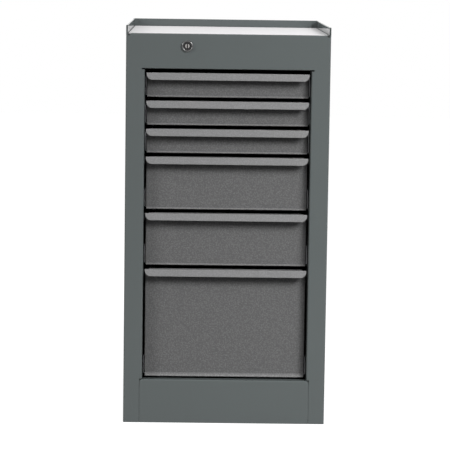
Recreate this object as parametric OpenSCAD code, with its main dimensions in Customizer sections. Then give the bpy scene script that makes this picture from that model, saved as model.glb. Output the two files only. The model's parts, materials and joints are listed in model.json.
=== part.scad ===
// Six-drawer steel side cabinet, hung on the flank of a larger cabinet.
// Folded sheet carcass, telescopic ball slides, and one key lock whose rod
// turns a crank at the back and lifts a bar of hooks behind all the drawers.
// Millimetres. X to the right, Y to the back, Z up. The origin is the bottom
// centre of the whole cabinet.

/* [Carcass] */
// Width over the flanks
case_w = 381; // [360:1:420]
// Depth from the face of the stiles to the back panel
case_d = 457; // [455:1:520]
// Height to the top of the tray's upstands
case_h = 750; // [740:1:800]
// Thickness of the carcass sheet
sheet = 1.2; // [1.0:0.1:1.5]
// Inner radius of the carcass bends
bend = 1.8; // [1.0:0.1:2.5]
// Height of the upstands round the tray
upstand_h = 15; // [12:1:20]
// Thickness of the mat in the tray
mat_t = 3; // [2:0.5:3.5]

/* [Face] */
// Width of the drawer opening
opening_w = 310.4; // [300:0.2:320]
// Height of the kick panel under the drawers
kick_h = 82.6; // [70:0.2:90]
// Height of the fascia over the drawers
fascia_h = 65.6; // [60:0.2:70]
// Depth of the stiles' inner returns
return_d = 14; // [10:1:18]
// Width of the rear flanges of the flanks
rear_flange = 11.5; // [10:0.5:14]

/* [Drawers] */
// Distance from the fascia down to the top of the first pull
first_gap = 7.3; // [6:0.1:10]
// Height taken by each small drawer
small_pitch = 52.4; // [50:0.1:56]
// Height taken by each medium drawer
medium_pitch = 106; // [100:0.1:110]
// Gap under each drawer front
drawer_gap = 6; // [5:0.5:8]
// Gap at each side of the drawer fronts
side_gap = 3.45; // [3:0.05:5]
// How far the fronts lie behind the stiles
front_recess = 20; // [18:1:24]
// Thickness of the drawer sheet
drawer_sheet = 1; // [0.8:0.1:1.2]
// Depth of the drawer boxes
box_d = 412; // [400:1:415]
// How far the foot of each front kicks out
kick_out = 3; // [2:0.5:4]

/* [Pulls] */
// Height of the pull's face
pull_h = 13.5; // [13.5:0.5:18]
// Radius of the pull's lower corners
pull_r = 11.5; // [6:0.5:11.5]
// Thickness of the pull's wall
pull_t = 1.6; // [1.2:0.1:2]

/* [Slides] */
// Thickness of a closed slide
slide_t = 12.7; // [12.5:0.1:13]
// Height of the fixed rail
slide_h = 35; // [33:1:36]
// Length of every rail
slide_len = 400; // [380:5:400]

/* [Lock] */
// Distance of the lock from the middle, to the left
lock_x = 76.6; // [60:0.2:100]
// Height of the lock
lock_z = 712.3; // [708:0.1:714]
// Radius of the lock's bezel
bezel_r = 10.5; // [10:0.1:11]
// How far the bezel stands proud of the fascia
bezel_t = 4; // [3:0.5:5]
// Radius of the plug that the key turns
plug_r = 5.6; // [5.4:0.1:6]
// Running clearance round the plug and the rod
running = 0.06; // [0.03:0.01:0.1]
// Radius of the crank at the rod's rear end
crank_r = 8; // [7:0.5:9]
// Thickness of the lock bar
bar_t = 2.5; // [2:0.5:3]
// Width of the lock bar
bar_w = 24; // [20:1:30]

/* [Hanging holes] */
// Radius of the holes in the left flank
hang_r = 4.25; // [3:0.25:5]
// Distance of the hanging holes from front to back
hang_y = 220; // [180:5:230]
// Height of the lower hanging holes
hang_low_z = 45; // [35:1:60]
// Height of the upper hanging holes
hang_high_z = 705; // [700:1:710]

/* [Hidden] */
$fn = 48;
eps = 0.01;
rivet_h = 1.2;
rivet_r = 3.2;
shank_r = 1.6;

// Main planes
half_w = case_w / 2;
inner_w = half_w - sheet;
front_y = bezel_t - (bezel_t + case_d + rivet_h) / 2;
back_y = front_y + case_d;
back_in = back_y - sheet;
flange_y = back_in;
tray_z = case_h - upstand_h;
mat_z = tray_z - mat_t;
open_x = opening_w / 2;
open_top = tray_z - fascia_h;
hem_gap = 0.8;
hem_w = 2 * sheet + hem_gap;
floor_flange = 14;
tray_flange = 14;
corner = bend + sheet + 0.2;

// The rails' ends meet the stiles here, and small reliefs free the bends
seam_x = open_x + 5.3;
relief_h = 1.5;
notch_w = 4.5;
seam_gap = 0.5;
rail_lap = 12;

// Drawer stack
drawer_count = 6;
small_count = 3;
function drawers_before(i) = i - 1;
function pull_top(i) =
    open_top - first_gap
    - small_pitch * min(drawers_before(i), small_count)
    - medium_pitch * max(drawers_before(i) - small_count, 0);
function front_bottom(i) =
    i < drawer_count ? pull_top(i + 1) + drawer_gap : kick_h + 3.2;
function flare_h(i) = i < drawer_count ? 4 : 8;
function box_floor(i) = front_bottom(i) + drawer_sheet;
rim_drop = 8;
function box_top(i) = pull_top(i) - rim_drop;

// Drawer planes
front_face = front_y + front_recess;
box_front = front_face + drawer_sheet;
box_back = box_front + box_d;
front_x = open_x - side_gap;
upright_x = open_x - 1.0;
box_x = upright_x - slide_t;
front_return = 10;
box_hem = 2 * drawer_sheet + 0.6;

// The front's shelf lies this far under the pull's top, its flange hangs
// behind the pull's face, and both end this far from the pull's ends
shelf_drop = 0.5;
shelf_end = 6.8;
flange_gap = 3.2;
lip_h = 6.2;
nose_r = 0.8;

// Slides
slide_front = front_y + 36;
slide_back = slide_front + slide_len;
rail_t = 1.2;
function slide_z(i) = box_floor(i) + 18.7;

// Slide uprights
upright_w = 28;
foot_w = 12;
upright_front_y = -190;
upright_rear_y = 150;
slot_h = 4;
slot_d = 14;

// Lock
lock_pos_x = -lock_x;
body_r = 9.4;
body_d = 24;
plug_face = front_y - bezel_t + 0.8;
plug_back = front_y + body_d + 4;
blade_t = 3;
blade_w = 8;
blade_d = 12;
rod_r = 3;
sleeve_r = 6.5;
sleeve_d = 16;
pin_r = 2.5;
slot_play = 0.4;
bar_front = back_in - 2 - bar_t;
arm_t = 3;
arm_back = bar_front - 7.2;
bar_x = lock_pos_x - crank_r * cos(45) - 1.4;
bar_bottom = 238;
guide_w = 12;
guide_low_z = 243;
guide_high_z = 672;

// Lock catches and hooks
catch_t = 1.5;
catch_d = 12;
catch_lip = 12.5;
catch_w = 20;
hook_w = 12;
hook_front = box_back + 5.1;
hook_top = 14;
hook_arm = 25;

DRAWER_PIECES = ["box", "front", "pull", "rails", "lock_catch", "middle_rails"];

// ---- Folded sheet ------------------------------------------------------
// A sheet folded along a path of corners: the path is the sheet's outer face,
// the sheet lies to its left, and every corner is an arc of inner radius r.

function unit(v) = v / norm(v);
function left_of(v) = [-v[1], v[0]];
function turn(u, v) = atan2(u[0] * v[1] - u[1] * v[0], u * v);
function reversed(p) = [for (i = [len(p) - 1:-1:0]) p[i]];

function bend_points(p, i, side, t, r, steps) =
    let (u = unit(p[i] - p[i - 1]),
         v = unit(p[i + 1] - p[i]),
         a = turn(u, v),
         outwards = -sign(a),
         reach = a > 0 ? r + t : r,
         centre = p[i] - outwards * reach * (left_of(u) + left_of(v)) / (1 + u * v),
         radius = a > 0 ? r + t - side : r + side,
         start = atan2(left_of(u)[1], left_of(u)[0]))
    [for (k = [0:steps])
        centre + outwards * radius * [cos(start + a * k / steps), sin(start + a * k / steps)]];

function face_points(p, side, t, r, steps) =
    let (last = len(p) - 1)
    concat(
        [p[0] + side * left_of(unit(p[1] - p[0]))],
        [for (i = [1:last - 1]) each bend_points(p, i, side, t, r, steps)],
        [p[last] + side * left_of(unit(p[last] - p[last - 1]))]
    );

module folded(p, t, r, steps = 4) {
    polygon(concat(face_points(p, 0, t, r, steps), reversed(face_points(p, t, t, r, steps))));
}

// Stretch a plan profile upwards from z0 to z1
module rise(z0, z1) {
    translate([0, 0, z0]) linear_extrude(z1 - z0) children();
}

// Stretch a profile drawn in Y and Z across from x0 to x1
module across(x0, x1) {
    translate([x0, 0, 0]) rotate([90, 0, 90]) linear_extrude(x1 - x0) children();
}

// Stretch a profile drawn in X and Z back from y0 to y1
module back(y0, y1) {
    translate([0, y1, 0]) rotate([90, 0, 0]) linear_extrude(y1 - y0) children();
}

// A block between two opposite corners
module block(low, high) {
    translate(low) cube(high - low);
}

// A round bar along Y from y0 to y1
module bar_y(x, z, r, y0, y1) {
    translate([x, y0, z]) rotate([-90, 0, 0]) cylinder(r = r, h = y1 - y0);
}

module on_left() {
    mirror([1, 0, 0]) children();
}

// ---- Carcass -----------------------------------------------------------

// The right flank with its stile, return and rear flange
module flank() {
    difference() {
        rise(0, case_h)
            folded([
                [open_x, front_y + return_d],
                [open_x, front_y],
                [half_w, front_y],
                [half_w, flange_y],
                [half_w - rear_flange, flange_y]
            ], sheet, bend);
        // Over the stile only the hemmed upstand goes on
        block([0, front_y - 1, tray_z], [half_w + 1, flange_y - corner, case_h + 1]);
        // The stile narrows beside the rails, past the reliefs of the bends
        block([0, front_y - 1, open_top - relief_h], [seam_x, front_y + return_d + 1, case_h]);
        block([0, front_y - 1, -1], [seam_x, front_y + return_d + 1, kick_h + relief_h]);
        // Room for the fold along the stile's top edge
        block([0, front_y - 1, tray_z - 4], [half_w - hem_w, front_y + 4, tray_z + 1]);
    }
    // Hemmed upstand along the tray
    back(front_y + 0.6, flange_y - sheet - 0.5)
        folded([
            [half_w, tray_z - corner],
            [half_w, case_h],
            [half_w - hem_w, case_h],
            [half_w - hem_w, mat_z + 0.3]
        ], sheet, hem_gap / 2);
    // The stile's top edge folds back level with the fascia's, short of a
    // corner notch beside the upstand
    across(seam_x, half_w - hem_w - notch_w)
        folded([
            [front_y + 9, mat_z],
            [front_y + 9, tray_z],
            [front_y, tray_z],
            [front_y, tray_z - 12]
        ], sheet, bend - 0.6);
}

module left_side_panel() {
    color([0.37, 0.40, 0.40])
        difference() {
            on_left() flank();
            for (y = [-hang_y / 2, hang_y / 2])
                for (z = [hang_low_z, hang_high_z])
                    translate([-half_w - 1, y, z]) rotate([0, 90, 0]) cylinder(r = hang_r, h = 4);
            left_rivets(shank_r + 0.05);
        }
}

module right_side_panel() {
    color([0.37, 0.40, 0.40])
        difference() {
            flank();
            on_left() left_rivets(shank_r + 0.05);
        }
}

module back_panel() {
    color([0.37, 0.40, 0.40])
        difference() {
            union() {
                block([-half_w, back_in, 0], [half_w, back_y, case_h - corner]);
                across(-half_w, half_w)
                    folded([
                        [back_y, case_h - corner - 1],
                        [back_y, case_h],
                        [back_y - hem_w, case_h],
                        [back_y - hem_w, case_h - corner + 1]
                    ], sheet, hem_gap / 2);
                across(rear_flange - half_w + 0.5, half_w - rear_flange - 0.5)
                    folded([
                        [back_y, tray_z],
                        [back_y, case_h],
                        [back_y - hem_w, case_h],
                        [back_y - hem_w, tray_z + 0.6]
                    ], sheet, hem_gap / 2);
            }
            // The flanks' tabs take the hem's place in the corners
            for (side = [-1, 1])
                translate([side * (half_w - rear_flange / 2), 0, 0])
                    block([-rear_flange / 2 - eps, back_y - hem_w - 1, tray_z],
                          [rear_flange / 2 + eps, back_in, case_h + 1]);
            left_rivets(shank_r + 0.05);
            on_left() left_rivets(shank_r + 0.05);
        }
}

// Shanks of the rivets that hold the back panel to the left flank
rivet_rows = 6;
module left_rivets(r) {
    for (k = [0:rivet_rows - 1])
        bar_y(-half_w + 6, 40 + k * (case_h - 100) / (rivet_rows - 1), r,
              flange_y - sheet - 2, back_y + 1);
}

module back_rivets() {
    color([0.62, 0.63, 0.64])
        for (side = [0, 1])
            mirror([side, 0, 0])
                for (k = [0:rivet_rows - 1])
                    translate([-half_w + 6, 0, 40 + k * (case_h - 100) / (rivet_rows - 1)])
                        rotate([-90, 0, 0])
                            rotate_extrude()
                                polygon([
                                    [0, flange_y - sheet - 1.2],
                                    [shank_r + 0.7, flange_y - sheet - 1.2],
                                    [shank_r + 0.7, flange_y - sheet],
                                    [shank_r, flange_y - sheet],
                                    [shank_r, back_y],
                                    [rivet_r, back_y],
                                    [rivet_r - 0.3, back_y + 0.6],
                                    [rivet_r - 1.3, back_y + rivet_h],
                                    [0, back_y + rivet_h]
                                ]);
}

// Tray floor, folded down at the flanks
module top_panel() {
    color([0.37, 0.40, 0.40])
        back(front_y + corner, flange_y - corner)
            folded([
                [inner_w, mat_z - tray_flange],
                [inner_w, mat_z],
                [-inner_w, mat_z],
                [-inner_w, mat_z - tray_flange]
            ], sheet, bend);
}

// Floor pan, folded up at the flanks
module bottom_panel() {
    color([0.37, 0.40, 0.40])
        back(front_y + corner, flange_y - corner)
            folded([
                [-inner_w, floor_flange],
                [-inner_w, 0],
                [inner_w, 0],
                [inner_w, floor_flange]
            ], sheet, bend);
}

// Laps behind the stiles that hold a rail's ends
module rail_laps(z0, z1) {
    for (side = [0, 1])
        mirror([side, 0, 0])
            block([seam_x - 8, front_y + sheet, z0],
                  [seam_x + rail_lap, front_y + 2 * sheet, z1]);
}

module top_rail() {
    color([0.37, 0.40, 0.40])
        difference() {
            union() {
                across(-seam_x, seam_x)
                    folded([
                        [front_y + 9, mat_z],
                        [front_y + 9, tray_z],
                        [front_y, tray_z],
                        [front_y, open_top + 10]
                    ], sheet, bend - 0.6);
                across(-seam_x, seam_x)
                    square_yz(front_y, front_y + sheet, open_top + 4, open_top + 12);
                across(-open_x, open_x)
                    folded([
                        [front_y, open_top + 12],
                        [front_y, open_top],
                        [front_y + front_recess, open_top],
                        [front_y + front_recess, open_top + 12]
                    ], sheet, bend - 0.6);
                across(-seam_x, seam_x)
                    square_yz(front_y, front_y + sheet, open_top + 1.2, open_top + 6);
                rail_laps(open_top + 12, tray_z - 14);
            }
            bar_y(lock_pos_x, lock_z, body_r + 0.1, front_y - 1, front_y + sheet + 1);
        }
}

module square_yz(y0, y1, z0, z1) {
    translate([y0, z0]) square([y1 - y0, z1 - z0]);
}

// Kick panel with rounded upper corners and a ledge under the last drawer
module bottom_rail() {
    kick_x = seam_x - seam_gap;
    round_r = 5;
    color([0.37, 0.40, 0.40]) {
        difference() {
            across(-kick_x, kick_x)
                folded([
                    [front_y + 22, kick_h - 12],
                    [front_y + 22, kick_h],
                    [front_y, kick_h],
                    [front_y, 0]
                ], sheet, bend - 0.6);
            for (side = [0, 1])
                mirror([side, 0, 0]) {
                    // Rounded corner
                    difference() {
                        block([kick_x - round_r, front_y - 1, kick_h - round_r],
                              [kick_x + 1, front_y + 30, kick_h + 1]);
                        bar_y(kick_x - round_r, kick_h - round_r, round_r,
                              front_y - 2, front_y + 31);
                    }
                    // The ledge is as wide as the opening
                    block([open_x - 0.4, front_y + 4, kick_h - 13],
                          [kick_x + 1, front_y + 30, kick_h + 1]);
                }
        }
        rail_laps(10, kick_h - 14);
    }
}

module top_mat() {
    color([0.90, 0.90, 0.90])
        rise(mat_z, tray_z)
            rounded_plan(-half_w + hem_w + 1, half_w - hem_w - 1,
                         front_y + 9.6, back_y - hem_w - 0.4, 2);
}

// A rectangle in plan with round corners
module rounded_plan(x0, x1, y0, y1, r) {
    union() {
        translate([x0 + r, y0]) square([x1 - x0 - 2 * r, y1 - y0]);
        translate([x0, y0 + r]) square([x1 - x0, y1 - y0 - 2 * r]);
        for (x = [x0 + r, x1 - r])
            for (y = [y0 + r, y1 - r])
                translate([x, y]) circle(r = r);
    }
}

// ---- Slides ------------------------------------------------------------

// Hat-section upright on the right flank, slotted for the slides' tabs
module upright(y0) {
    difference() {
        rise(floor_flange + 1, mat_z - tray_flange - 1)
            folded([
                [inner_w, y0 - foot_w],
                [inner_w, y0],
                [upright_x + sheet, y0],
                [upright_x + sheet, y0 + upright_w],
                [inner_w, y0 + upright_w],
                [inner_w, y0 + upright_w + foot_w]
            ], sheet, 1);
        for (i = [1:drawer_count])
            translate([upright_x - 1, y0 + (upright_w - slot_d) / 2, slide_z(i) - slot_h / 2])
                cube([4, slot_d, slot_h]);
    }
}

module left_front_upright() {
    color([0.30, 0.31, 0.32]) on_left() upright(upright_front_y);
}

module left_rear_upright() {
    color([0.30, 0.31, 0.32]) on_left() upright(upright_rear_y);
}

module right_front_upright() {
    color([0.30, 0.31, 0.32]) upright(upright_front_y);
}

module right_rear_upright() {
    color([0.30, 0.31, 0.32]) upright(upright_rear_y);
}

// A rolled rail on the right: a channel between u0 and u1 from the drawer's
// side, half_h high each way, open on the drawer's side or on the other
module channel_out(u0, u1, half_h, lip, t) {
    folded([
        [box_x + u0, lip - half_h],
        [box_x + u0, -half_h],
        [box_x + u1, -half_h],
        [box_x + u1, half_h],
        [box_x + u0, half_h],
        [box_x + u0, half_h - lip]
    ], t, 0.8, 3);
}

module channel_in(u0, u1, half_h, lip, t) {
    folded([
        [box_x + u1, half_h - lip],
        [box_x + u1, half_h],
        [box_x + u0, half_h],
        [box_x + u0, -half_h],
        [box_x + u1, -half_h],
        [box_x + u1, lip - half_h]
    ], t, 0.8, 3);
}

module cabinet_rail(i) {
    translate([0, 0, slide_z(i)]) {
        back(slide_front, slide_back) channel_out(2.4, slide_t, slide_h / 2, 3.5, rail_t);
        // Tabs that hook through the uprights' slots
        for (y0 = [upright_front_y, upright_rear_y])
            translate([upright_x - eps, y0 + (upright_w - slot_d) / 2 + 1, 0.5 - slot_h / 2])
                cube([sheet + 2.5, slot_d - 2, slot_h - 1]);
    }
}

module middle_rail(i) {
    translate([0, 0, slide_z(i)])
        back(slide_front, slide_back) channel_out(3.4, 10.9, slide_h / 2 - 4.2, 2.5, 1);
}

module drawer_rail(i) {
    translate([0, 0, slide_z(i)])
        back(slide_front, slide_back) channel_in(0, 8.6, slide_h / 2 - 8.3, 2.6, rail_t);
}

module both_sides() {
    children();
    on_left() children();
}

module right_cabinet_rails() {
    color([0.72, 0.73, 0.74]) for (i = [1:drawer_count]) cabinet_rail(i);
}

module left_cabinet_rails() {
    color([0.72, 0.73, 0.74]) on_left() for (i = [1:drawer_count]) cabinet_rail(i);
}

module drawer_middle_rails(i) {
    color([0.76, 0.77, 0.78]) both_sides() middle_rail(i);
}

module drawer_rails(i) {
    color([0.72, 0.73, 0.74]) both_sides() drawer_rail(i);
}

// ---- Drawers -----------------------------------------------------------

module drawer_box(i) {
    low = box_floor(i);
    high = box_top(i);
    hem_in = box_x - box_hem;
    color([0.25, 0.25, 0.26]) {
        // Floor and sides in one sheet, the sides' top edges hemmed inwards
        back(box_front, box_back)
            folded([
                [-hem_in, high - 6],
                [-hem_in, high],
                [-box_x, high],
                [-box_x, low],
                [box_x, low],
                [box_x, high],
                [hem_in, high],
                [hem_in, high - 6]
            ], drawer_sheet, 0.3);
        // Front and back walls
        for (y = [box_front, box_back - drawer_sheet])
            block([drawer_sheet / 2 - box_x, y, low + drawer_sheet / 2],
                  [box_x - drawer_sheet / 2, y + drawer_sheet, high]);
    }
}

module drawer_front(i) {
    foot = front_bottom(i);
    flare = flare_h(i);
    shelf = pull_top(i) - shelf_drop;
    flange_y0 = front_y + pull_t;
    color([0.30, 0.30, 0.30]) {
        // Face with returns at both sides
        rise(foot + flare, shelf - 2)
            folded([
                [-front_x, front_face + front_return],
                [-front_x, front_face],
                [front_x, front_face],
                [front_x, front_face + front_return]
            ], drawer_sheet, 1);
        // The foot kicks out and turns back under the box
        across(1.5 - front_x, front_x - 1.5)
            folded([
                [front_face, foot + flare + 3],
                [front_face, foot + flare],
                [front_face - kick_out, foot],
                [front_face + front_return, foot]
            ], drawer_sheet, 0.6);
        // The top folds forward as a shelf and down again as a flange
        across(shelf_end - front_x, front_x - shelf_end)
            folded([
                [box_front, shelf - 4],
                [box_front, shelf],
                [flange_y0, shelf],
                [flange_y0, pull_top(i) - pull_h + flange_gap]
            ], drawer_sheet, 0.6);
    }
}

// Outline of a pull's face: round lower corners, nearly square upper ones
module pull_outline(i, inset) {
    low = pull_top(i) - pull_h + inset;
    high = pull_top(i) - inset;
    edge = front_x - inset;
    lower = pull_r - inset;
    upper = max(1.5 - inset, 0.5);
    for (side = [0, 1])
        mirror([side, 0]) {
            translate([edge - lower, low + lower]) circle(r = lower);
            translate([edge - upper, high - upper]) circle(r = upper);
            translate([edge - lower, low + lower]) square([lower, high - low - lower - upper]);
            translate([-1, low]) square([edge - lower + 1, high - low]);
            translate([edge - lower - 1, low + lower]) square([lower - upper + 1, high - low - lower]);
        }
}

// Strip pressed over the flange: rounded face, ends and lower rim turned back,
// and a lip that rises behind the flange
module drawer_pull(i) {
    low = pull_top(i) - pull_h;
    high = pull_top(i);
    lip_y = front_y + pull_t + drawer_sheet;
    color([0.52, 0.52, 0.53]) {
        intersection() {
            union() {
                back(front_y, front_y + pull_t) pull_outline(i, 0);
                back(front_y, lip_y + pull_t)
                    difference() {
                        pull_outline(i, 0);
                        pull_outline(i, pull_t);
                        translate([pull_t - front_x, high - pull_t - eps])
                            square([2 * (front_x - pull_t), pull_t + 1]);
                    }
            }
            across(-front_x - 1, front_x + 1) rounded_nose(i);
        }
        block([pull_r - front_x, lip_y, low + pull_t - eps],
              [front_x - pull_r, lip_y + pull_t, low + lip_h]);
    }
}

// Section that rounds the pull's front edges, in Y and Z
module rounded_nose(i) {
    low = pull_top(i) - pull_h;
    high = pull_top(i);
    for (z = [low + nose_r, high - nose_r])
        translate([front_y + nose_r, z]) circle(r = nose_r);
    translate([front_y, low + nose_r]) square([nose_r + 1, pull_h - 2 * nose_r]);
    translate([front_y + nose_r, low]) square([10, pull_h]);
}

// Bracket on the drawer's back wall, lipped for the lock bar's hook
module drawer_lock_catch(i) {
    color([0.55, 0.56, 0.57])
        across(bar_x - catch_w / 2, bar_x + catch_w / 2)
            folded([
                [box_back + catch_d, box_top(i) - catch_lip],
                [box_back + catch_d, box_top(i)],
                [box_back, box_top(i)],
                [box_back, box_top(i) - catch_lip - 1.5]
            ], catch_t, 0.8, 3);
}

// ---- Lock --------------------------------------------------------------

module lock_housing() {
    color([0.10, 0.10, 0.11])
        translate([lock_pos_x, 0, lock_z])
            rotate([-90, 0, 0])
                rotate_extrude()
                    polygon([
                        [plug_r + running, front_y - bezel_t + 1.8],
                        [bezel_r - 2.6, front_y - bezel_t + 1.8],
                        [bezel_r - 2.3, front_y - bezel_t + 0.5],
                        [bezel_r - 1.8, front_y - bezel_t],
                        [bezel_r - 1.1, front_y - bezel_t],
                        [bezel_r - 0.4, front_y - bezel_t + 0.5],
                        [bezel_r, front_y - bezel_t + 1.4],
                        [bezel_r, front_y],
                        [body_r, front_y],
                        [body_r, front_y + body_d],
                        [plug_r + running, front_y + body_d]
                    ]);
}

module lock_nut() {
    color([0.70, 0.71, 0.72])
        difference() {
            translate([lock_pos_x, front_y + sheet, lock_z])
                rotate([-90, 0, 0]) cylinder(r = 14, h = 4, $fn = 6);
            bar_y(lock_pos_x, lock_z, body_r + 0.05, front_y, front_y + 10);
        }
}

// Plug with an upright key slot and a flat tail blade
module lock_plug() {
    color([0.66, 0.66, 0.67])
        difference() {
            union() {
                bar_y(lock_pos_x, lock_z, plug_r, plug_face, front_y + body_d + 0.4);
                bar_y(lock_pos_x, lock_z, sleeve_r, front_y + body_d, plug_back);
                translate([lock_pos_x, plug_back + blade_d / 2 - eps, lock_z])
                    cube([blade_t, blade_d, blade_w], center = true);
            }
            translate([lock_pos_x, plug_face, lock_z]) cube([2, 12, 8], center = true);
            cross_pin(1.5);
        }
}

// The pin through sleeve and blade
module cross_pin(r) {
    translate([lock_pos_x - sleeve_r - 1, plug_back + blade_d / 2, lock_z])
        rotate([0, 90, 0]) cylinder(r = r, h = 2 * sleeve_r + 2);
}

module rod_pin() {
    color([0.74, 0.75, 0.76]) cross_pin(1.5);
}

// Tail rod: slotted sleeve at the front, crank arm and pin at the back
module lock_rod() {
    pin_x = lock_pos_x - crank_r * cos(45);
    pin_z = lock_z - crank_r * sin(45);
    color([0.70, 0.71, 0.72])
        difference() {
            union() {
                bar_y(lock_pos_x, lock_z, sleeve_r, plug_back, plug_back + sleeve_d);
                bar_y(lock_pos_x, lock_z, rod_r, plug_back + sleeve_d - eps, arm_back);
                bar_y(lock_pos_x, lock_z, 5.5, arm_back - arm_t, arm_back);
                bar_y(pin_x, pin_z, 4.5, arm_back - arm_t, arm_back);
                translate([(lock_pos_x + pin_x) / 2, arm_back - arm_t / 2, (lock_z + pin_z) / 2])
                    rotate([0, -45, 0]) cube([crank_r, arm_t, 9], center = true);
                bar_y(pin_x, pin_z, pin_r, arm_back - eps, back_in - 1);
            }
            translate([lock_pos_x, plug_back + blade_d / 2, lock_z])
                cube([blade_t, blade_d, 2 * sleeve_r + 1], center = true);
            cross_pin(1.5);
        }
}

// Bracket under the tray that steadies the rod
module rod_bracket() {
    bracket_y = 180;
    color([0.30, 0.31, 0.32])
        difference() {
            across(lock_pos_x - 15, lock_pos_x + 15)
                folded([
                    [bracket_y, lock_z - 10],
                    [bracket_y, mat_z - sheet],
                    [bracket_y - 16, mat_z - sheet]
                ], 1.5, 1);
            bar_y(lock_pos_x, lock_z, rod_r + running, bracket_y - 3, bracket_y + 3);
        }
}

// Vertical bar behind the drawers, with a slot for the crank pin
module lock_bar() {
    slot_z = lock_z - crank_r * sin(45);
    slot_half = pin_r + slot_play;
    slot_x0 = lock_pos_x - crank_r - slot_play;
    slot_x1 = lock_pos_x - crank_r * cos(45) + slot_play;
    color([0.70, 0.71, 0.72])
        difference() {
            block([bar_x - bar_w / 2, bar_front, bar_bottom],
                  [bar_x + bar_w / 2, bar_front + bar_t, slot_z + 10]);
            for (x = [slot_x0, slot_x1])
                bar_y(x, slot_z, slot_half, bar_front - 1, bar_front + bar_t + 1);
            block([slot_x0, bar_front - 1, slot_z - slot_half],
                  [slot_x1, bar_front + bar_t + 1, slot_z + slot_half]);
        }
}

// Hooks welded to the bar: each rises in front, behind the lip of its
// drawer's catch, and lies flat on the bar at the back
module lock_hooks() {
    color([0.70, 0.71, 0.72])
        for (i = [1:drawer_count])
            translate([0, 0, box_top(i)])
                across(bar_x - hook_w / 2, bar_x + hook_w / 2)
                    folded([
                        [hook_front, -hook_top],
                        [hook_front, -hook_arm - bar_t],
                        [bar_front, -hook_arm - bar_t],
                        [bar_front, -hook_top]
                    ], bar_t, 0.8, 3);
}

// Two bridges on the back panel that the bar slides in
module lock_bar_guides() {
    play = 0.4;
    leg_x = bar_w / 2 + play;
    web_y = bar_front - play;
    color([0.30, 0.31, 0.32])
        for (z = [guide_low_z, guide_high_z])
            translate([bar_x, 0, 0])
                rise(z, z + guide_w)
                    folded([
                        [leg_x + 14, back_in],
                        [leg_x, back_in],
                        [leg_x, web_y],
                        [-leg_x, web_y],
                        [-leg_x, back_in],
                        [-leg_x - 14, back_in]
                    ], sheet, 0.6, 3);
}

left_side_panel();
right_side_panel();
back_panel();
top_panel();
bottom_panel();
top_rail();
bottom_rail();
left_front_upright();
left_rear_upright();
right_front_upright();
right_rear_upright();
left_cabinet_rails();
right_cabinet_rails();
top_mat();
back_rivets();
lock_housing();
lock_nut();
lock_plug();
rod_pin();
lock_rod();
rod_bracket();
lock_bar();
lock_hooks();
lock_bar_guides();
for (i = [1:drawer_count]) {
    drawer_box(i);
    drawer_front(i);
    drawer_pull(i);
    drawer_rails(i);
    drawer_lock_catch(i);
    drawer_middle_rails(i);
}
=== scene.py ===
"""Looks of the six-drawer steel side cabinet: paints, metals, mat, lights, floor, camera."""
import json
import math

import bpy
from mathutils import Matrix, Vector


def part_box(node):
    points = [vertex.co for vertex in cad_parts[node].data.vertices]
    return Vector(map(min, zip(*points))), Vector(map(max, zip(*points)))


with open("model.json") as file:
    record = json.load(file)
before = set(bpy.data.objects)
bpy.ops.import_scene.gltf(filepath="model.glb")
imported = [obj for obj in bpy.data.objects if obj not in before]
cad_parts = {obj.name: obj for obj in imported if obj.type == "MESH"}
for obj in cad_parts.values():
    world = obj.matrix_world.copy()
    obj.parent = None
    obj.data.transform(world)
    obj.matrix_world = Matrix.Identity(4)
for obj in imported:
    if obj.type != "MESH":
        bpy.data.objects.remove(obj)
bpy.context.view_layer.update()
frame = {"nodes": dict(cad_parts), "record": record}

MM = 0.001

# ---- Camera, floor and light ---------------------------------------------

# Place, turn in degrees and focal length in millimetres, fitted to the cabinet's edges
CAMERA_PLACE = (-0.057, -4.3141, 0.872)
CAMERA_TURN = (83.114, -0.791, -0.673)
CAMERA_LENS = 175.65
CAMERA_SENSOR = 36.0

# The soft boxes aim past the cabinet, so that its top isn't lit more than its foot
BEAM = math.radians(90)
KEY_LIGHT = {
    "place": (1.75, -2.35, 1.95),
    "aim": (0.50, -0.20, 0.00),
    "width": 1.3,
    "power": 31.0,
}
SIDE_LIGHT = {
    "place": (-3.30, -2.30, 1.90),
    "aim": (0.00, -0.20, -0.40),
    "width": 1.6,
    "power": 20.0,
}

# The world's values go by the direction of a ray, from -1 to 1 along each axis.
# The sky has SKY_LOW up to the first height and SKY_HIGH from the second on
SKY_HEIGHTS = (0.35, 0.95)
SKY_LOW = 0.12
SKY_HIGH = 0.80
# Light from behind the cabinet, for its back: full from the second depth on, and
# fading out between the heights, so that it stays low
BACK_FILL = 1.0
BACK_DEPTHS = (0.10, 0.60)
BACK_HEIGHTS = (0.25, 0.55)

FLOOR_HALF = 8.0
# What the camera sees of the floor glows and takes shadows, what lights the cabinet is grey
FLOOR_GLOW = 0.86
FLOOR_SEEN = 0.28
FLOOR_BOUNCE = 0.15
WHITE = (1.0, 1.0, 1.0, 1.0)


def new_tree(owner):
    """An empty node tree on a material or world."""
    owner.use_nodes = True
    owner.node_tree.nodes.clear()
    return owner.node_tree


def add(tree, kind, **sockets):
    """A node with values set on its input sockets, by socket name."""
    node = tree.nodes.new(kind)
    for name, value in sockets.items():
        node.inputs[name.replace("_", " ")].default_value = value
    return node


def ramp(tree, value, start, end, low, high):
    """A value stretched from start..end to low..high."""
    node = add(tree, "ShaderNodeMapRange")
    for socket, number in zip(node.inputs[1:5], (start, end, low, high)):
        socket.default_value = number
    tree.links.new(value, node.inputs[0])
    return node.outputs[0]


def combine(tree, operation, first, second):
    """Two values put together by a Math node."""
    node = add(tree, "ShaderNodeMath")
    node.operation = operation
    tree.links.new(first, node.inputs[0])
    tree.links.new(second, node.inputs[1])
    return node.outputs[0]


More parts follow.
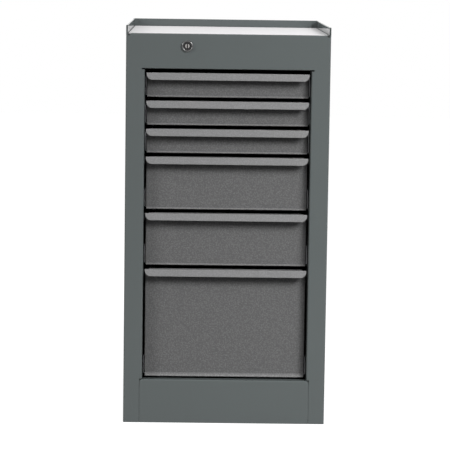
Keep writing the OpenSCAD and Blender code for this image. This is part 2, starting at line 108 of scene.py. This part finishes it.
def mix_shaders(tree, factor, first, second):
    """The first shader where the factor is 0, the second where it is 1."""
    mixer = add(tree, "ShaderNodeMixShader")
    tree.links.new(factor, mixer.inputs[0])
    tree.links.new(first, mixer.inputs[1])
    tree.links.new(second, mixer.inputs[2])
    return mixer.outputs[0]


def seen_directly(tree):
    """1 for camera, glossy and transmission rays, 0 for the rays that carry light."""
    path = add(tree, "ShaderNodeLightPath")
    total = path.outputs["Is Camera Ray"]
    for name in ("Is Glossy Ray", "Is Transmission Ray"):
        total = combine(tree, "MAXIMUM", total, path.outputs[name])
    return total


def make_world():
    """A sky that lights from above and from low behind, and shows plain white."""
    world = bpy.data.worlds.new("studio")
    tree = new_tree(world)
    fill = add(tree, "ShaderNodeBackground", Color=WHITE)
    towards = add(tree, "ShaderNodeSeparateXYZ")
    tree.links.new(add(tree, "ShaderNodeTexCoord").outputs["Generated"], towards.inputs[0])
    sky = ramp(tree, towards.outputs["Z"], *SKY_HEIGHTS, SKY_LOW, SKY_HIGH)
    behind = ramp(tree, towards.outputs["Y"], *BACK_DEPTHS, 0.0, BACK_FILL)
    low_down = ramp(tree, towards.outputs["Z"], *BACK_HEIGHTS, 1.0, 0.0)
    behind = combine(tree, "MULTIPLY", behind, low_down)
    tree.links.new(combine(tree, "ADD", sky, behind), fill.inputs["Strength"])
    backdrop = add(tree, "ShaderNodeBackground", Color=WHITE, Strength=1.0)
    out = add(tree, "ShaderNodeOutputWorld")
    shader = mix_shaders(tree, seen_directly(tree), fill.outputs[0], backdrop.outputs[0])
    tree.links.new(shader, out.inputs["Surface"])
    bpy.context.scene.world = world


def floor_paint():
    """White to the camera, with shadows, and a modest grey to the light."""
    paint = bpy.data.materials.new("floor_white")
    tree = new_tree(paint)
    glow = add(tree, "ShaderNodeEmission", Color=WHITE, Strength=FLOOR_GLOW)
    seen = add(tree, "ShaderNodeBsdfDiffuse", Color=(FLOOR_SEEN,) * 3 + (1,))
    bounce = add(tree, "ShaderNodeBsdfDiffuse", Color=(FLOOR_BOUNCE,) * 3 + (1,))
    total = add(tree, "ShaderNodeAddShader")
    tree.links.new(glow.outputs[0], total.inputs[0])
    tree.links.new(seen.outputs[0], total.inputs[1])
    out = add(tree, "ShaderNodeOutputMaterial")
    shader = mix_shaders(tree, seen_directly(tree), bounce.outputs[0], total.outputs[0])
    tree.links.new(shader, out.inputs["Surface"])
    return paint


def make_floor():
    """A square of floor under the cabinet."""
    half = FLOOR_HALF
    mesh = bpy.data.meshes.new("floor")
    corners = [(-half, -half, 0), (half, -half, 0), (half, half, 0), (-half, half, 0)]
    mesh.from_pydata(corners, [], [(0, 1, 2, 3)])
    mesh.materials.append(floor_paint())
    floor = bpy.data.objects.new("floor", mesh)
    bpy.context.scene.collection.objects.link(floor)


def make_soft_box(name, place, aim, width, power):
    """A round soft box with a narrowed beam."""
    lamp = bpy.data.lights.new(name, "AREA")
    lamp.shape = "DISK"
    lamp.size = width
    lamp.energy = power
    lamp.spread = BEAM
    soft_box = bpy.data.objects.new(name, lamp)
    soft_box.location = place
    towards = Vector(aim) - Vector(place)
    soft_box.rotation_euler = towards.to_track_quat("-Z", "Y").to_euler()
    bpy.context.scene.collection.objects.link(soft_box)


def make_camera():
    """The photograph's camera, fitted for a frame of 450 x 450 pixels."""
    data = bpy.data.cameras.new("camera")
    data.lens = CAMERA_LENS
    data.sensor_width = CAMERA_SENSOR
    camera = bpy.data.objects.new("camera", data)
    camera.location = CAMERA_PLACE
    camera.rotation_euler = [math.radians(a) for a in CAMERA_TURN]
    bpy.context.scene.collection.objects.link(camera)
    bpy.context.scene.camera = camera


# ---- Places and colours ----------------------------------------------------

# The drawer fronts' side returns reach this far behind their faces
FRONT_RETURN = 10.0 * MM
front_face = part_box("drawer_1_front")[1].y - FRONT_RETURN
# Depths of the painted highlight at a front's foot, a lighter band painted where the bend
# catches the light: it starts at the first, stays full up to the second and has faded out at the
# third
FOOT_HIGHLIGHT_BAND = tuple(front_face - before * MM for before in (5.4, 3.3, 0.2))

# The lock turns on the middle of its housing
lock_axis = sum(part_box("lock_housing"), Vector()) / 2
plug_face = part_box("lock_plug")[0].y
# Radius at which the housing's plated rim starts, and the one from which the plug's face is
# painted dark as painted shade
RIM_RADIUS = 8.0 * MM
PLUG_SHADE_RADIUS = 4.2 * MM

CASE_COLOUR = (0.0885, 0.1015, 0.1015)
DRAWER_COLOUR = (0.124, 0.124, 0.125)
# Painted highlight: the lighter colour painted along the foot of each drawer front, where its
# bend catches the light
FOOT_HIGHLIGHT_COLOUR = (0.270, 0.270, 0.271)
PULL_COLOUR = (0.209, 0.209, 0.211)
BRACKET_COLOUR = (0.075, 0.080, 0.082)
ZINC_COLOUR = (0.48, 0.49, 0.51)
MAT_COLOUR = (0.785, 0.777, 0.785)
# The lock's black moulding: partly its own colour, partly painted shade for the recess round the
# plug
LOCK_BLACK_AND_SHADE = (0.012, 0.012, 0.013)
RIM_COLOUR = (0.14, 0.14, 0.14)
NICKEL_COLOUR = (0.34, 0.33, 0.32)
# Painted shade: near-black painted into the lock's keyway and on the rim of the plug's face
LOCK_SHADE_COLOUR = (0.010, 0.010, 0.010)

# ---- Surfaces --------------------------------------------------------------


class Surface:
    """A Principled material put together from texture layers in object space."""

    def __init__(self, name, **sockets):
        self.material = bpy.data.materials.new(name)
        self.tree = new_tree(self.material)
        self.shader = add(self.tree, "ShaderNodeBsdfPrincipled", **sockets)
        out = add(self.tree, "ShaderNodeOutputMaterial")
        self.link(self.shader.outputs[0], out.inputs["Surface"])
        self.place = add(self.tree, "ShaderNodeTexCoord").outputs["Object"]

    def link(self, start, end):
        self.tree.links.new(start, end)

    def stretched(self, times):
        """Object coordinates in which a texture is drawn out from front to back."""
        mapping = add(self.tree, "ShaderNodeMapping", Scale=(1, 1 / times, 1))
        self.link(self.place, mapping.inputs["Vector"])
        return mapping.outputs[0]

    def grain(self, size, detail=2.0, place=None):
        """Noise whose patches are about size metres across."""
        noise = add(self.tree, "ShaderNodeTexNoise", Scale=1 / size, Detail=detail)
        self.link(place or self.place, noise.inputs["Vector"])
        return noise.outputs["Fac"]

    def cells(self, size):
        """Rounded cells about size metres across, 0 at their middles."""
        voronoi = add(self.tree, "ShaderNodeTexVoronoi", Scale=1 / size)
        voronoi.feature = "SMOOTH_F1"
        self.link(self.place, voronoi.inputs["Vector"])
        return voronoi.outputs["Distance"]

    def rings(self, centre, size):
        """Fine rings left by a lathe, about size metres wide."""
        noise = add(self.tree, "ShaderNodeTexNoise", Scale=1 / size, Detail=3.0)
        noise.noise_dimensions = "1D"
        self.link(self.radius(centre), noise.inputs["W"])
        return noise.outputs["Fac"]

    def radius(self, centre):
        """Distance from an axis that runs along Y through centre."""
        offset = add(self.tree, "ShaderNodeVectorMath")
        offset.operation = "SUBTRACT"
        offset.inputs[1].default_value = centre
        self.link(self.place, offset.inputs[0])
        flat = add(self.tree, "ShaderNodeVectorMath")
        flat.operation = "MULTIPLY"
        flat.inputs[1].default_value = (1, 0, 1)
        self.link(offset.outputs[0], flat.inputs[0])
        length = add(self.tree, "ShaderNodeVectorMath")
        length.operation = "LENGTH"
        self.link(flat.outputs[0], length.inputs[0])
        return length.outputs["Value"]

    def depth(self):
        """How far back a point lies."""
        parts = add(self.tree, "ShaderNodeSeparateXYZ")
        self.link(self.place, parts.inputs[0])
        return parts.outputs["Y"]

    def spread(self, value, low=0.0, high=1.0, start=0.3, end=0.7):
        """A value stretched from start..end to low..high."""
        return ramp(self.tree, value, start, end, low, high)

    def step(self, value, edge, softness):
        """0 below the edge and 1 above it, with a soft change round it."""
        return self.spread(value, start=edge - softness, end=edge + softness)

    def average(self, first, second, share):
        """first and second mixed, with this share of second."""
        mixer = add(self.tree, "ShaderNodeMix")
        mixer.inputs["Factor"].default_value = share
        self.link(first, mixer.inputs["A"])
        self.link(second, mixer.inputs["B"])
        return mixer.outputs["Result"]

    def larger(self, first, second):
        """The larger of two values."""
        return combine(self.tree, "MAXIMUM", first, second)

    def blend(self, value, first, second):
        """Two colours mixed by a value."""
        mixer = add(self.tree, "ShaderNodeMix")
        mixer.data_type = "RGBA"
        ends = [s for s in mixer.inputs if s.type == "RGBA"]
        for end, colour in zip(ends, (first, second)):
            if isinstance(colour, tuple):
                end.default_value = colour + (1,)
            else:
                self.link(colour, end)
        self.link(value, mixer.inputs["Factor"])
        return next(s for s in mixer.outputs if s.type == "RGBA")

    def shades(self, value, base, variation):
        """Shades of one colour, darker and lighter by the variation."""
        dark = tuple(c * (1 - variation) for c in base)
        light = tuple(c * (1 + variation) for c in base)
        return self.blend(value, dark, light)

    def paint(self, colour):
        """Use this colour output as the surface's colour."""
        self.link(colour, self.shader.inputs["Base Color"])

    def roughness(self, value, low, high):
        """Roughness from low to high, where the value goes from 0.3 to 0.7."""
        self.link(self.spread(value, low, high), self.shader.inputs["Roughness"])

    def relief(self, *layers):
        """Bumps: each layer is a height from 0 to 1 and its depth in metres."""
        normal = None
        for height, depth in layers:
            bump = add(self.tree, "ShaderNodeBump", Strength=1.0, Distance=depth)
            self.link(height, bump.inputs["Height"])
            if normal:
                self.link(normal, bump.inputs["Normal"])
            normal = bump.outputs[0]
        self.link(normal, self.shader.inputs["Normal"])


def smooth_coat(name, base):
    """Glossy powder coat with a faint orange peel."""
    peel_size, drift_size, dust_size = 5 * MM, 60 * MM, 1.2 * MM
    peel_depth, dust_depth = 0.015 * MM, 0.003 * MM
    coat = Surface(name, Specular_IOR_Level=0.25)
    peel = coat.grain(peel_size, detail=1.0)
    drift = coat.grain(drift_size, detail=3.0)
    tone = coat.average(drift, peel, share=0.3)
    coat.paint(coat.shades(tone, base, variation=0.03))
    coat.roughness(drift, low=0.06, high=0.11)
    coat.relief((peel, peel_depth), (coat.grain(dust_size), dust_depth))
    return coat.material


def painted_highlight_band(coat, paint, highlight, band):
    """Paint that turns into the lighter highlight colour within a band of depths: a painted
    highlight.
    """
    outer, full, inner = band
    edge_width = 0.5 * MM
    near = coat.spread(coat.depth(), low=1.0, high=0.0, start=full, end=inner)
    before = coat.spread(coat.depth(), low=1.0, high=0.0, start=outer, end=outer + edge_width)
    return coat.blend(before, coat.blend(near, paint, highlight), paint)


def textured_coat(name, base, variation, depth, gloss, roughness, foot=None):
    """Fine-textured powder coat: small pimples with their tops painted a little lighter, a
    painted highlight, and a lighter colour painted along the foot of a drawer front, also a
    painted highlight."""
    pimple_size, speckle_size, patch_size, fine_size = 2.2 * MM, 1.6 * MM, 3 * MM, 0.6 * MM
    coat = Surface(name, Specular_IOR_Level=gloss)
    pimples = coat.spread(coat.cells(pimple_size), low=1.0, high=0.0, start=0.05, end=0.65)
    speckle = coat.average(coat.grain(speckle_size, detail=3.0), pimples, share=0.5)
    # The tone is random speckle, and lighter on the pimples' raised tops as a painted highlight
    tone = coat.spread(speckle, start=0.35, end=0.75)
    paint = coat.shades(tone, base, variation)
    # Painted highlight: a lighter band painted along the foot of each drawer front
    if foot:
        paint = painted_highlight_band(coat, paint, coat.shades(tone, foot, variation), FOOT_HIGHLIGHT_BAND)
    coat.paint(paint)
    coat.roughness(coat.grain(patch_size), *roughness)
    coat.relief((speckle, depth), (coat.grain(fine_size), depth / 4))
    return coat.material


def rolled_metal(name, base, roughness):
    """Plated steel strip with streaks along the way it was rolled."""
    streak_size, bloom_size, streak_length = 1.2 * MM, 14 * MM, 40
    streak_depth, bloom_depth = 0.01 * MM, 0.02 * MM
    steel = Surface(name, Metallic=1.0)
    streaks = steel.grain(streak_size, detail=4.0, place=steel.stretched(streak_length))
    bloom = steel.grain(bloom_size, detail=4.0)
    shade = steel.average(streaks, bloom, share=0.4)
    steel.paint(steel.shades(steel.spread(shade), base, variation=0.12))
    steel.roughness(shade, *roughness)
    steel.relief((streaks, streak_depth), (bloom, bloom_depth))
    return steel.material


def keyed_metal(name, base, centre, face, rim):
    """Turned metal with painted shade: near-black in the keyway behind the face and on the rim
    round it.
    """
    ring_size, smudge_size, ring_depth = 0.25 * MM, 3 * MM, 0.01 * MM
    keyway_start, keyway_softness, rim_softness = 0.25 * MM, 0.1 * MM, 0.1 * MM
    steel = Surface(name, Metallic=1.0)
    rings = steel.rings(centre, ring_size)
    shade = steel.average(rings, steel.grain(smudge_size, detail=3.0), share=0.4)
    # Painted shade: the keyway behind the face and the face's rim outside the given radius are
    # painted near-black
    behind = steel.step(steel.depth(), face + keyway_start, keyway_softness)
    rim_shade = steel.step(steel.radius(centre), rim, rim_softness)
    metal = steel.shades(steel.spread(shade), base, variation=0.15)
    steel.paint(steel.blend(steel.larger(behind, rim_shade), metal, LOCK_SHADE_COLOUR))
    steel.roughness(shade, low=0.22, high=0.36)
    steel.relief((rings, ring_depth))
    return steel.material


def rimmed_black(name, black, rim, centre, edge):
    """Black moulding inside a plated rim that starts at this radius; its black is partly the
    moulding's own colour and partly painted shade for the recess round the plug.
    """
    ring_size, smudge_size, mark_depth, softness = 0.25 * MM, 2.5 * MM, 0.01 * MM, 0.05 * MM
    lock = Surface(name, Specular_IOR_Level=0.5)
    on_rim = lock.step(lock.radius(centre), edge, softness)
    marks = lock.average(lock.rings(centre, ring_size), lock.grain(smudge_size, detail=4.0), 0.5)
    # The black inside the rim is partly the moulding's colour and partly painted shade
    moulding_and_shade = lock.shades(marks, black, variation=0.25)
    plating = lock.shades(marks, rim, variation=0.15)
    lock.paint(lock.blend(on_rim, moulding_and_shade, plating))
    lock.link(on_rim, lock.shader.inputs["Metallic"])
    lock.roughness(marks, low=0.12, high=0.24)
    lock.relief((marks, mark_depth))
    return lock.material


def foam_mat(name, base):
    """Pale closed-cell mat with a fine leathery skin."""
    pore_size, cloud_size, fine_size = 1.8 * MM, 45 * MM, 0.7 * MM
    pore_depth, fine_depth = 0.12 * MM, 0.03 * MM
    foam = Surface(name, Specular_IOR_Level=0.06)
    pores = foam.spread(foam.cells(pore_size), start=0.1, end=0.7)
    cloud = foam.grain(cloud_size, detail=3.0)
    tone = foam.average(pores, cloud, share=0.6)
    foam.paint(foam.shades(tone, base, variation=0.035))
    foam.roughness(pores, low=0.80, high=0.92)
    foam.relief((pores, pore_depth), (foam.grain(fine_size), fine_depth))
    return foam.material


def drawer_paint(name):
    """The drawers' charcoal, with a painted highlight along the fronts' feet."""
    return textured_coat(name, DRAWER_COLOUR, variation=0.20, depth=0.14 * MM, gloss=0.12,
                         roughness=(0.42, 0.60), foot=FOOT_HIGHLIGHT_COLOUR)


def pull_paint(name):
    """The pulls' lighter grey, finer and glossier."""
    return textured_coat(name, PULL_COLOUR, variation=0.13, depth=0.09 * MM, gloss=0.45,
                         roughness=(0.28, 0.42))


def make_materials():
    """One material for each material slot of the record."""
    return {
        "case_paint": smooth_coat("case_paint", CASE_COLOUR),
        "drawer_paint": drawer_paint("drawer_paint"),
        "pull_paint": pull_paint("pull_paint"),
        "bracket_paint": smooth_coat("bracket_paint", BRACKET_COLOUR),
        "zinc_steel": rolled_metal("zinc_steel", ZINC_COLOUR, roughness=(0.46, 0.60)),
        "mat_foam": foam_mat("mat_foam", MAT_COLOUR),
        "lock_black": rimmed_black("lock_black", LOCK_BLACK_AND_SHADE, RIM_COLOUR, lock_axis, RIM_RADIUS),
        "lock_steel": keyed_metal("lock_steel", NICKEL_COLOUR, lock_axis, plug_face,
                                  PLUG_SHADE_RADIUS),
    }


# ---- CAD nodes -------------------------------------------------------------

# Edges sharper than this stay sharp
SMOOTH_ANGLE = math.radians(32)
ROUND_ANGLES = {
    "lock_housing": math.radians(70),
}
WELD_GAP = 0.002 * MM
SOFT_EDGES = {
    "top_mat": 0.8 * MM,
    "lock_plug": 0.15 * MM,
}


def soften(piece, width):
    """Round every sharp edge of a node a little."""
    bevel = piece.modifiers.new("edges", "BEVEL")
    bevel.width = width
    bevel.segments = 3
    bevel.limit_method = "ANGLE"
    bevel.angle_limit = SMOOTH_ANGLE
    bevel.harden_normals = False


def finish_node(piece, material):
    """Give a CAD node its material and shade its bends smoothly, its flats flat."""
    piece.data.materials.clear()
    piece.data.materials.append(material)
    for face in piece.data.polygons:
        face.material_index = 0
        face.use_smooth = True
    weld = piece.modifiers.new("weld", "WELD")
    weld.merge_threshold = WELD_GAP
    width = SOFT_EDGES.get(piece.name)
    if width:
        soften(piece, width)
    split = piece.modifiers.new("split", "EDGE_SPLIT")
    split.split_angle = ROUND_ANGLES.get(piece.name, SMOOTH_ANGLE)
    flatten = piece.modifiers.new("flatten", "WEIGHTED_NORMAL")
    flatten.mode = "FACE_AREA"
    flatten.weight = 50


def finish_nodes(materials):
    """Every CAD node gets the material of its slot."""
    for part in frame["record"]["subparts"]:
        finish_node(frame["nodes"][part["node"]], materials[part["material_slot"]])


make_camera()
make_world()
make_floor()
make_soft_box("key", **KEY_LIGHT)
make_soft_box("side", **SIDE_LIGHT)
finish_nodes(make_materials())

scene = bpy.context.scene
scene.view_settings.view_transform = "Standard"
